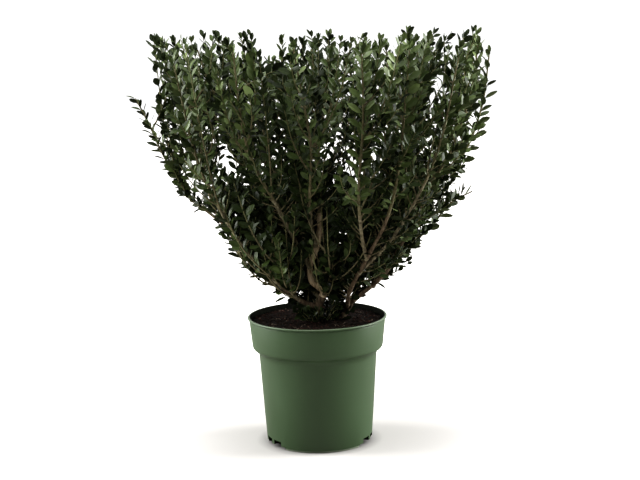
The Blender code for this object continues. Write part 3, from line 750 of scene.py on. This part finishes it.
def make_materials():
    """All materials; the five upper leaf tones run from the darkest to the brightest and serve as
    painted shade and painted light as well as the leaves' own spread of tone.
    """
    return {
        "upper": [
            leaf_material("leaf_deep", (0.013, 0.020, 0.006), 0.38, 0.12),
            leaf_material("leaf_dark", (0.027, 0.041, 0.012), 0.38, 0.17),
            leaf_material("leaf_mid", (0.056, 0.082, 0.024), 0.37, 0.21),
            leaf_material("leaf_fresh_and_lit", (0.104, 0.145, 0.047), 0.36, 0.25),
            leaf_material("leaf_bright", (0.180, 0.235, 0.088), 0.36, 0.28),
        ],
        "lower": leaf_material("leaf_under", (0.088, 0.114, 0.046), 0.60, 0.12),
        # Darker underside, used under the two darkest upper tones: painted shade.
        "lower_dark": leaf_material("leaf_under_dark", (0.026, 0.036, 0.014), 0.60, 0.10),
        "bark": bark_material("bark_old", (0.28, 0.72), (0.062, 0.050, 0.030),
                              (0.205, 0.175, 0.108), (0.390, 0.345, 0.230)),
        # Brighter copy of the bark: painted light on the trunk.
        "bark_trunk": bark_material("bark_trunk", (0.28, 0.72), (0.150, 0.105, 0.062),
                                    (0.560, 0.430, 0.270), (0.780, 0.650, 0.450)),
        # Darker copy of the bark: painted shade on stems in shade and on the trunk's foot.
        "bark_shade": bark_material("bark_shade", (0.28, 0.72), (0.040, 0.026, 0.016),
                                    (0.115, 0.082, 0.050), (0.220, 0.165, 0.105)),
        "bark_young": bark_material("bark_young", (0.3, 0.7), (0.100, 0.082, 0.044),
                                    (0.240, 0.215, 0.120), scale=380.0),
        "twig": bark_material("twig_green", (0.3, 0.7), (0.120, 0.115, 0.050),
                              (0.230, 0.220, 0.110), scale=420.0),
        # Nearly black: soil stain with painted shade on the inner wall, and painted shade in the
        # drain holes and recesses.
        "inner_stain_and_shade": soil_material("wall_stain_and_shade", (0.3, 0.7), (0.004, 0.004, 0.003),
                               (0.012, 0.014, 0.009)),
        "pot": pot_material("pot_plastic", (0.037, 0.072, 0.026), (0.046, 0.087, 0.034)),
        # Lighter copy of the plastic: a painted highlight on the rim's bead.
        "pot_rim_highlight": pot_material("pot_rim_highlight", (0.095, 0.138, 0.078), (0.130, 0.178, 0.108)),
        # Still lighter copy of the plastic: a painted highlight along the foot's lower edge.
        "pot_foot_highlight": pot_material("pot_foot_highlight", (0.220, 0.270, 0.190), (0.280, 0.330, 0.245)),
        "soil": soil_material("soil_mix", (0.32, 0.78), (0.004, 0.0025, 0.002),
                              (0.009, 0.0055, 0.0040), (0.030, 0.017, 0.012)),
        "chips": [
            soil_material("chip_dark", (0.3, 0.7), (0.008, 0.005, 0.003), (0.024, 0.014, 0.009)),
            soil_material("chip_red", (0.3, 0.7), (0.020, 0.008, 0.006), (0.048, 0.020, 0.014)),
            soil_material("chip_tan", (0.3, 0.7), (0.080, 0.060, 0.045), (0.170, 0.135, 0.105)),
        ],
    }


# Pieces

def put(obj, slot, *nodes):
    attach(obj, "root")
    if nodes:
        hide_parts(*nodes)


def bark_shape(seed, rough):
    """Ridges, swellings and old leaf scars on a limb."""
    def shape(point, out, radius):
        place = point + out * radius
        ridge = noise.noise(Vector((out.x * 3 + seed, out.y * 3, place.z * 60)))
        fine = noise.noise(place * 420 + Vector((seed, 0, 0)))
        knot = max(0.0, noise.noise(point * 75 + Vector((0, seed, 0))) - 0.25)
        return radius * (1 + rough * (0.16 * ridge + 0.10 * fine) + 0.55 * knot * rough)
    return shape


def build_limbs(plan, mats):
    """Bark of every limb, flared at its foot and younger towards its tip."""
    for index, (name, limb) in enumerate(plan.items()):
        ground = limb["parent"] is None
        step, sides, rough, flare, reach = STEM_BARK if ground else BOUGH_BARK
        points = evenly(limb["curve"], step)
        run = lengths(points)
        radii = [limb_radius(limb, part / run[-1]) * (1.0 + flare * math.exp(-part / reach))
                 for part in run]
        verts, quads = tube(points, radii, sides, bark_shape(index * 7.3, rough))
        old_share = max(limb["share"], 0.25)
        last = len(points) - 1
        tones = [0 if i / last < old_share else 1 for i in range(last)]
        if name == "trunk":
            # Painted shade: the trunk's foot takes the shaded bark.
            tones = [2 if points[i].z < DARK_FOOT else tones[i] for i in range(last)]
        mesh = fast_mesh("bark_" + name, verts, quads, np.repeat(tones, sides))
        old = mats[BARK_LIT_AND_SHADED.get(name, "bark")]
        obj = add_object(mesh, [old, mats["bark_young"], mats["bark_shade"]])
        node = name if ground else "bough_" + name
        put(obj, "bark", *([node] if limb["share"] > 0.0 else []))


def pick_tone_light_and_shade(name, curve, kind, rng):
    """Painted shade darkens sprays low down and deep inside; painted light brightens those at the
    crown's top and outer face.
    """
    tip = curve[-1]
    height = min(1.0, max(0.0, (tip.z - 0.25) / 0.40))
    depth = math.hypot(tip.x, tip.y) / 0.30
    # Painted light at the crown's top and outer face, painted shade low down and inside; the rest
    # is random.
    value = 0.85 + 0.35 * height + 1.15 * depth + rng.uniform(-1.3, 1.3)
    # Spurs and sprouts, deep inside and low down, get more painted shade.
    if kind > TWIG:
        value -= 0.6
    if name in FRESH_LEADERS and kind == LEADER:
        return 3
    return int(min(4, max(0, value)))


def build_twigs(label, shoots, mats):
    """Thin wood of one mass, greener in its outer half; the leader has bark of its own."""
    verts = []
    quads = []
    wood = []
    for curve, kind in shoots:
        if kind == LEADER:
            continue
        points = evenly(curve, TWIG_RING_STEP)
        last = len(points) - 1
        foot = FOOT_RADII[kind]
        radii = [foot + (TWIG_TIP_RADIUS - foot) * i / last for i in range(last + 1)]
        ring_verts, ring_quads = tube(points, radii, TWIG_SIDES, base=len(verts))
        verts += ring_verts
        quads += ring_quads
        half = len(ring_quads) // 2
        wood += [0] * half + [1] * (len(ring_quads) - half)
    mesh = fast_mesh("twigs_" + label, verts, quads, wood)
    put(add_object(mesh, [mats["bark_young"], mats["twig"]]), "bark")


def build_leaves(name, label, shoots, mats):
    """Leaves of one mass: a tone per shoot, with a darker or brighter leaf here and there."""
    rng = random.Random(f"{SEED} leaves {name}")
    leaves = []
    tones = []
    for curve, kind in shoots:
        tone = pick_tone_light_and_shade(name, curve, kind, rng)
        sprig = leaves_on(curve, kind, rng)
        leaves += sprig
        tones += [min(4, max(0, tone + rng.choice((-1, 0, 0, 0, 0, 1)))) for _ in sprig]
    points, faces = leaf_surface(leaves)
    index = np.zeros((len(leaves), 4, len(STATIONS) - 1), dtype=np.int32)
    for i, tone in enumerate(tones):
        index[i, :2, :] = tone
        # Leaves in the two darkest tones get the darker underside: painted shade.
        index[i, 2:, :] = 6 if tone < 2 else 5
    mesh = fast_mesh("leaves_" + label, points, faces, index.ravel())
    leaf_mats = mats["upper"] + [mats["lower"], mats["lower_dark"]]
    put(add_object(mesh, leaf_mats), "leaf", "foliage_" + label)


def build_foliage(plan, mats):
    for name, limb in plan.items():
        label = MASS_LABELS.get(name, name)
        shoots = grow_mass(name, limb)
        if limb["share"] > 0.0:
            shoots += grow_spurs(name, limb)
        if name == "trunk":
            shoots += grow_sprouts()
        build_twigs(label, shoots, mats)
        build_leaves(name, label, shoots, mats)


def arc(centre, radius, start, end, count):
    """Points on part of a circle, angles in degrees."""
    points = []
    for i in range(count):
        turn = math.radians(start + (end - start) * i / (count - 1))
        points.append((centre[0] + radius * math.cos(turn), centre[1] + radius * math.sin(turn)))
    return points


def closed_mesh(name, verts, faces):
    """Mesh whose faces all look outwards."""
    mesh = plain_mesh(name, verts, faces)
    bm = bmesh.new()
    bm.from_mesh(mesh)
    bmesh.ops.recalc_face_normals(bm, faces=bm.faces)
    bm.to_mesh(mesh)
    bm.free()
    return mesh


def revolve(name, profile, sides):
    """Round mesh from rows of radius and height; a radius of 0 is one point on the axis."""
    verts = []
    rings = []
    for radius, height in profile:
        places = circle(radius, sides) if radius > 0.0 else [(0.0, 0.0)]
        rings.append(range(len(verts), len(verts) + len(places)))
        verts += [(x, y, height) for x, y in places]
    faces = []
    for low, high in zip(rings, rings[1:]):
        for k in range(sides):
            quad = (low[k % len(low)], low[(k + 1) % len(low)],
                    high[(k + 1) % len(high)], high[k % len(high)])
            faces.append(tuple(dict.fromkeys(quad)))
    return closed_mesh(name, verts, faces)


def wedge(middle, width, inner, top):
    """Block over a sector of a ring, from below the ground up to the given height."""
    steps = 6
    row = steps + 1
    bottom = -0.002
    outer = 0.1
    verts = []
    for height in (bottom, top):
        for radius in (inner, outer):
            for k in range(row):
                turn = math.radians(middle - width / 2 + width * k / steps)
                verts.append((radius * math.cos(turn), radius * math.sin(turn), height))
    faces = []
    for k in range(steps):
        faces.append((k, k + 1, row + k + 1, row + k))
        faces.append((2 * row + k, 3 * row + k, 3 * row + k + 1, 2 * row + k + 1))
        faces.append((k, 2 * row + k, 2 * row + k + 1, k + 1))
        faces.append((row + k, row + k + 1, 3 * row + k + 1, 3 * row + k))
    faces.append((0, row, 3 * row, 2 * row))
    faces.append((row - 1, 3 * row - 1, 4 * row - 1, 2 * row - 1))
    return bpy.data.objects.new("cutter", closed_mesh("cutter", verts, faces))


def pot_profile():
    """Outline with rounded edges, from the centre of the underside up and over to the floor."""
    lean = (BODY_TOP_RADIUS - BODY_FOOT_RADIUS) / BODY_TOP_HEIGHT
    step = BODY_FOOT_RADIUS - 0.0016
    outer = [(0.0, 0.0), (step - 0.0008, 0.0)]
    outer += arc((step - 0.0006, 0.0006), 0.0006, -90, 0, 4)
    outer += [(step, 0.0024)]
    outer += arc((BODY_FOOT_RADIUS - 0.0008, 0.0036), 0.0008, -80, 0, 4)
    outer += [(BODY_FOOT_RADIUS + lean * 0.05, 0.05), (BODY_FOOT_RADIUS + lean * 0.10, 0.10)]
    shoulder = ((0.0, -0.002), (0.0003, 0.001), (0.0013, 0.0045), (0.0031, 0.0080))
    outer += [(BODY_TOP_RADIUS + out, BODY_TOP_HEIGHT + up) for out, up in shoulder]
    outer += arc((COLLAR_FOOT_RADIUS - 0.0068, COLLAR_FOOT_HEIGHT + 0.0005), 0.0068, -72, -4, 9)
    outer += [(COLLAR_RADIUS - 0.0002, POT_HEIGHT - 0.0068),
              (COLLAR_RADIUS - 0.0006, POT_HEIGHT - 0.0044)]
    outer += arc((RIM_RADIUS - 0.0016, POT_HEIGHT - 0.0017), 0.0016, -75, 90, 9)
    inner = arc((RIM_RADIUS - 0.0028, POT_HEIGHT - 0.0012), 0.0012, 90, 180, 4)
    inner += [(COLLAR_RADIUS - WALL, POT_HEIGHT - 0.0060),
              (COLLAR_FOOT_RADIUS - WALL, COLLAR_FOOT_HEIGHT + 0.0012),
              (COLLAR_FOOT_RADIUS - WALL - 0.0030, COLLAR_FOOT_HEIGHT - 0.0030),
              (BODY_TOP_RADIUS + 0.0004, BODY_TOP_HEIGHT + 0.0096),
              (BODY_TOP_RADIUS - WALL, BODY_TOP_HEIGHT + 0.0010),
              (BODY_FOOT_RADIUS - WALL, FLOOR_RING_HEIGHT),
              (0.0700, FLOOR_RING_HEIGHT), (0.0660, FLOOR_THICK), (0.0, FLOOR_THICK)]
    return outer + inner


def stain_shade_and_highlight_pot(pot, mats):
    """Soil stain and painted shade inside the wall, painted shade in the drain holes and recesses,
    a painted highlight on the rim and on the foot's edge.
    """
    for name in ("inner_stain_and_shade", "pot_rim_highlight", "pot_foot_highlight"):
        pot.data.materials.append(mats[name])
    for face in pot.data.polygons:
        reach = math.hypot(face.center.x, face.center.y)
        height = face.center.z
        inward = face.normal.x * face.center.x + face.normal.y * face.center.y < 0
        # Inner wall: soil stain with painted shade.
        wall = inward and reach < COLLAR_RADIUS - 0.0008 and height > SOIL_TOP - 0.05
        # Painted shade in the drain holes and the recesses of the foot.
        hole_shade = 0.0005 < height < HOLE_TOP + 0.0008 and reach < BODY_FOOT_RADIUS - 0.0024
        # Painted highlight on the top of the rim's bead.
        rim = height > POT_HEIGHT - 0.0012 and reach > RIM_RADIUS - 0.0024
        # Painted highlight along the foot's lower edge.
        foot = height < 0.0026 and reach > BODY_FOOT_RADIUS - 0.0030 and face.normal.z > -0.8
        if wall or hole_shade:
            face.material_index = 1
        elif rim:
            face.material_index = 2
        elif foot:
            face.material_index = 3


def cut_away(pot, sectors, inner, top):
    """Take blocks out of the pot's foot; each sector is its middle and its width in degrees."""
    group = bpy.data.collections.new("cutters")
    bpy.context.scene.collection.children.link(group)
    cutters = [wedge(middle, width, inner, top) for middle, width in sectors]
    for cutter in cutters:
        group.objects.link(cutter)
    cut = pot.modifiers.new("cut", "BOOLEAN")
    cut.operation = "DIFFERENCE"
    cut.operand_type = "COLLECTION"
    cut.collection = group
    cut.solver = "EXACT"
    graph = bpy.context.evaluated_depsgraph_get()
    mesh = bpy.data.meshes.new_from_object(pot.evaluated_get(graph))
    pot.modifiers.clear()
    pot.data = mesh
    for cutter in cutters:
        bpy.data.objects.remove(cutter, do_unlink=True)
    bpy.data.collections.remove(group)


def build_pot(mats):
    """Pot with four recesses in its foot and two drain holes in each."""
    pot = add_object(revolve("pot_shell", pot_profile(), POT_SIDES), [mats["pot"]])
    recesses = [(middle, RECESS_WIDTH) for middle in RECESS_ANGLES]
    holes = [(middle + side * HOLE_OFFSET, HOLE_WIDTH)
             for middle in RECESS_ANGLES for side in (-1, 1)]
    cut_away(pot, recesses, RECESS_INNER, RECESS_HEIGHT)
    cut_away(pot, holes, HOLE_INNER, HOLE_TOP)
    stain_shade_and_highlight_pot(pot, mats)
    pot.data.polygons.foreach_set("use_smooth", np.full(len(pot.data.polygons), True))
    pot.data.set_sharp_from_angle(angle=math.radians(35))
    put(pot, "pot", "pot")


def soil_height(x, y):
    """Uneven surface, a little higher round the stems and lower at the wall."""
    reach = math.hypot(x, y)
    place = Vector((x, y, 0.0))
    lumps = noise.fractal(place * 55, 0.9, 2.1, 4) * 0.0022
    grain = noise.fractal(place * 330 + Vector((3, 7, 1)), 0.8, 2.2, 3) * 0.0011
    mound = 0.0045 * math.exp(-(((x - 0.012) / 0.034) ** 2 + ((y + 0.01) / 0.026) ** 2))
    edge = -0.0025 * max(0.0, (reach - 0.085) / 0.025) ** 2
    return SOIL_TOP - 0.0012 + lumps + grain + mound + edge


def build_soil(mats):
    """Uneven top of the mix, its body down to the pot's floor, and what lies on it."""
    sides = 220
    rings = 62
    verts = [(0.0, 0.0, soil_height(0.0, 0.0))]
    for ring in range(1, rings + 1):
        places = circle(0.1106 * (ring / rings) ** 0.85, sides)
        verts += [(x, y, soil_height(x, y)) for x, y in places]
    quads = [(0, 1 + k, 1 + (k + 1) % sides) for k in range(sides)]
    for ring in range(rings - 1):
        low = 1 + ring * sides
        for k in range(sides):
            nxt = (k + 1) % sides
            quads.append((low + k, low + sides + k, low + sides + nxt, low + nxt))
    mesh = plain_mesh("soil_top", verts, quads)
    mesh.polygons.foreach_set("use_smooth", np.full(len(mesh.polygons), True))
    put(add_object(mesh, [mats["soil"]]), "soil", "soil")
    inside = [(0.0, FLOOR_THICK + 0.0004), (0.0655, FLOOR_THICK + 0.0004),
              (0.0695, FLOOR_RING_HEIGHT + 0.0004), (BODY_FOOT_RADIUS - 0.0021, 0.0096),
              (BODY_TOP_RADIUS - 0.0022, BODY_TOP_HEIGHT), (COLLAR_FOOT_RADIUS - 0.0064, 0.160),
              (COLLAR_FOOT_RADIUS - 0.0026, 0.165), (0.1096, SOIL_TOP - 0.006)]
    put(add_object(revolve("soil_body", inside, 96), [mats["soil"]]), "soil")
    build_chips(mats)
    build_fibres(mats)


def soil_spot(rng, limit):
    """Random place on the mix within a distance from the middle, evenly spread."""
    reach = limit * math.sqrt(rng.random())
    turn = rng.uniform(0, math.tau)
    return reach * math.cos(turn), reach * math.sin(turn)


def chip_points(rng):
    """Lower and then upper corners of a flat broken piece, kept inside the pot's wall."""
    x, y = soil_spot(rng, 0.107)
    long = rng.uniform(0.0022, 0.0085) * (0.6 if rng.random() < 0.6 else 1.0)
    wide = long * rng.uniform(0.35, 0.8)
    thick = rng.uniform(0.0006, 0.0018)
    spin = Matrix.Rotation(rng.uniform(0, 6.28), 3, "Z")
    tilt = Matrix.Rotation(rng.uniform(-0.6, 0.6), 3, "X")
    centre = Vector((x, y, soil_height(x, y) + thick * 0.4))
    corners = rng.choice((5, 6, 7))
    points = []
    for level in (-1, 1):
        for k in range(corners):
            angle = math.tau * k / corners + 0.3 * level
            out = rng.uniform(0.75, 1.1)
            local = Vector((long / 2 * out * math.cos(angle), wide / 2 * out * math.sin(angle),
                            level * thick / 2 * rng.uniform(0.6, 1.2)))
            place = centre + spin @ (tilt @ local)
            flat = math.hypot(place.x, place.y)
            if flat > SOIL_RADIUS:
                place.x *= SOIL_RADIUS / flat
                place.y *= SOIL_RADIUS / flat
            points.append(tuple(place))
    return points


def build_chips(mats):
    """Flat broken pieces of bark lying on the mix."""
    rng = random.Random(f"{SEED} chips")
    verts = []
    faces = []
    tones = []
    for _ in range(CHIPS):
        base = len(verts)
        verts += chip_points(rng)
        top = (base + len(verts)) // 2
        corners = top - base
        tone = rng.choices((0, 1, 2), (0.66, 0.29, 0.05))[0]
        for k in range(corners):
            nxt = (k + 1) % corners
            faces.append((base + k, base + nxt, top + nxt, top + k))
        faces.append(tuple(range(top, top + corners)))
        faces.append(tuple(reversed(range(base, top))))
        tones += [tone] * (corners + 2)
    mesh = plain_mesh("soil_chips", verts, faces)
    mesh.polygons.foreach_set("material_index", tones)
    put(add_object(mesh, mats["chips"]), "soil")


def build_fibres(mats):
    """Short bent fibres and root hairs on the mix."""
    rng = random.Random(f"{SEED} fibres")
    verts = []
    quads = []
    tones = []
    for _ in range(FIBRES):
        x, y = soil_spot(rng, 0.104)
        heading = rng.uniform(0, math.tau)
        points = []
        for i in range(6):
            z = soil_height(x, y) + 0.0006 + 0.0012 * math.sin(math.pi * i / 5) * rng.random()
            points.append(Vector((x, y, z)))
            heading += rng.uniform(-0.5, 0.5)
            step = rng.uniform(0.0012, 0.0034)
            x += step * math.cos(heading)
            y += step * math.sin(heading)
            if math.hypot(x, y) > 0.108:
                heading += math.pi
                x += 2 * step * math.cos(heading)
                y += 2 * step * math.sin(heading)
        thick = rng.uniform(0.00016, 0.00042)
        ring_verts, ring_quads = tube(points, [thick] * len(points), 4, base=len(verts))
        verts += ring_verts
        quads += ring_quads
        tones += [rng.choice((0, 0, 1, 1, 2))] * len(ring_quads)
    mesh = fast_mesh("soil_fibres", verts, quads, tones)
    put(add_object(mesh, mats["chips"]), "soil")


# Stage, light and camera

def build_floor():
    """Pale floor: a painted shadow dark at the pot's foot, glowing further out, dull to the light
    that bounces.
    """
    verts = [(x, y, 0.0) for x, y in circle(7.0, 96)]
    mat, tree, shader = new_material("floor_paint")
    color = ramp_node(tree, noise_node(tree, 3.0, 3.0),
                      [(0.3, (0.520, 0.504, 0.485)), (0.7, (0.540, 0.524, 0.506))])
    place = new_node(tree, "TexCoord", "Object")
    reach = new_node(tree, "VectorMath", "Value", {0: place}, operation="LENGTH")
    # Painted shadow: the floor darkens close to the pot's foot.
    painted_contact_shadow = ramp_node(tree, reach, [(0.074, (0.16,) * 3), (0.088, (0.66,) * 3),
                                    (0.106, (1.0,) * 3)])
    fill(tree, shader, {"Base Color": multiply_colors(tree, color, painted_contact_shadow), "Roughness": 0.75,
                        "Emission Color": (1.0, 0.99, 0.97, 1.0),
                        "Emission Strength": fade_node(tree, reach, 0.12, 0.68, 1.0)})
    dull = new_node(tree, "BsdfDiffuse", "BSDF", {"Color": (0.32, 0.31, 0.29, 1.0)})
    split_by_ray(tree, dull, shader.outputs["BSDF"], tree.nodes["Material Output"])
    floor = add_object(plain_mesh("floor", verts, [tuple(range(len(verts)))]), [mat])
    floor.location.z = -0.0004


def build_world():
    """White surroundings: bright behind and above, dim on the viewer's side."""
    world = bpy.data.worlds.new("studio")
    bpy.context.scene.world = world
    world.use_nodes = True
    tree = world.node_tree
    tree.nodes.clear()
    split = tree.nodes.new("ShaderNodeSeparateXYZ")
    fill(tree, split, {"Vector": new_node(tree, "TexCoord", "Generated")})
    lift = new_node(tree, "Math", "Value", {0: split.outputs["Z"], 1: 1.15, 2: split.outputs["Y"]},
                    operation="MULTIPLY_ADD")
    strength = fade_node(tree, lift, -0.45, 0.75, 1.25)
    light = new_node(tree, "Background", "Background", {"Strength": strength})
    white = {"Color": (1.0, 1.0, 1.0, 1.0), "Strength": 1.0}
    seen = new_node(tree, "Background", "Background", white)
    split_by_ray(tree, light, seen, tree.nodes.new("ShaderNodeOutputWorld"))


def add_light(name, kind, place, target, power):
    """Light that looks from its place at the target."""
    light = bpy.data.lights.new(name, kind)
    light.energy = power
    obj = add_object(light)
    obj.location = place
    obj.rotation_euler = (Vector(target) - Vector(place)).to_track_quat("-Z", "Y").to_euler()
    return light


def build_lights():
    for name, place, target, size, power in SOFTBOXES:
        box = add_light(name, "AREA", place, target, power)
        box.shape = "RECTANGLE"
        box.size, box.size_y = size
    lamp = add_light("lamp_low", "SPOT", LAMP_PLACE, LAMP_TARGET, LAMP_POWER)
    lamp.shadow_soft_size = LAMP_RADIUS
    lamp.spot_size = LAMP_SPREAD
    lamp.spot_blend = 1.0


def build_camera():
    data = bpy.data.cameras.new("camera")
    data.sensor_width = SENSOR_MM
    data.lens = CAMERA_FOCAL_PX / PHOTO_WIDTH_PX * SENSOR_MM
    data.shift_x = CAMERA_SHIFT_PX / PHOTO_WIDTH_PX
    camera = add_object(data)
    forward = Vector((0.0, math.cos(CAMERA_PITCH), -math.sin(CAMERA_PITCH)))
    right = Vector((1.0, 0.0, 0.0))
    up = right.cross(forward)
    cos, sin = math.cos(CAMERA_ROLL), math.sin(CAMERA_ROLL)
    right, up = cos * right - sin * up, cos * up + sin * right
    turn = Matrix((right, up, -forward)).transposed().to_4x4()
    camera.matrix_world = Matrix.Translation(CAMERA_PLACE) @ turn
    bpy.context.scene.camera = camera


bpy.context.scene.view_settings.view_transform = "Standard"
bpy.context.scene.view_settings.look = "Medium High Contrast"
materials = make_materials()
limbs = plan_limbs()
build_limbs(limbs, materials)
build_foliage(limbs, materials)
build_pot(materials)
build_soil(materials)
build_floor()
build_world()
build_lights()
build_camera()
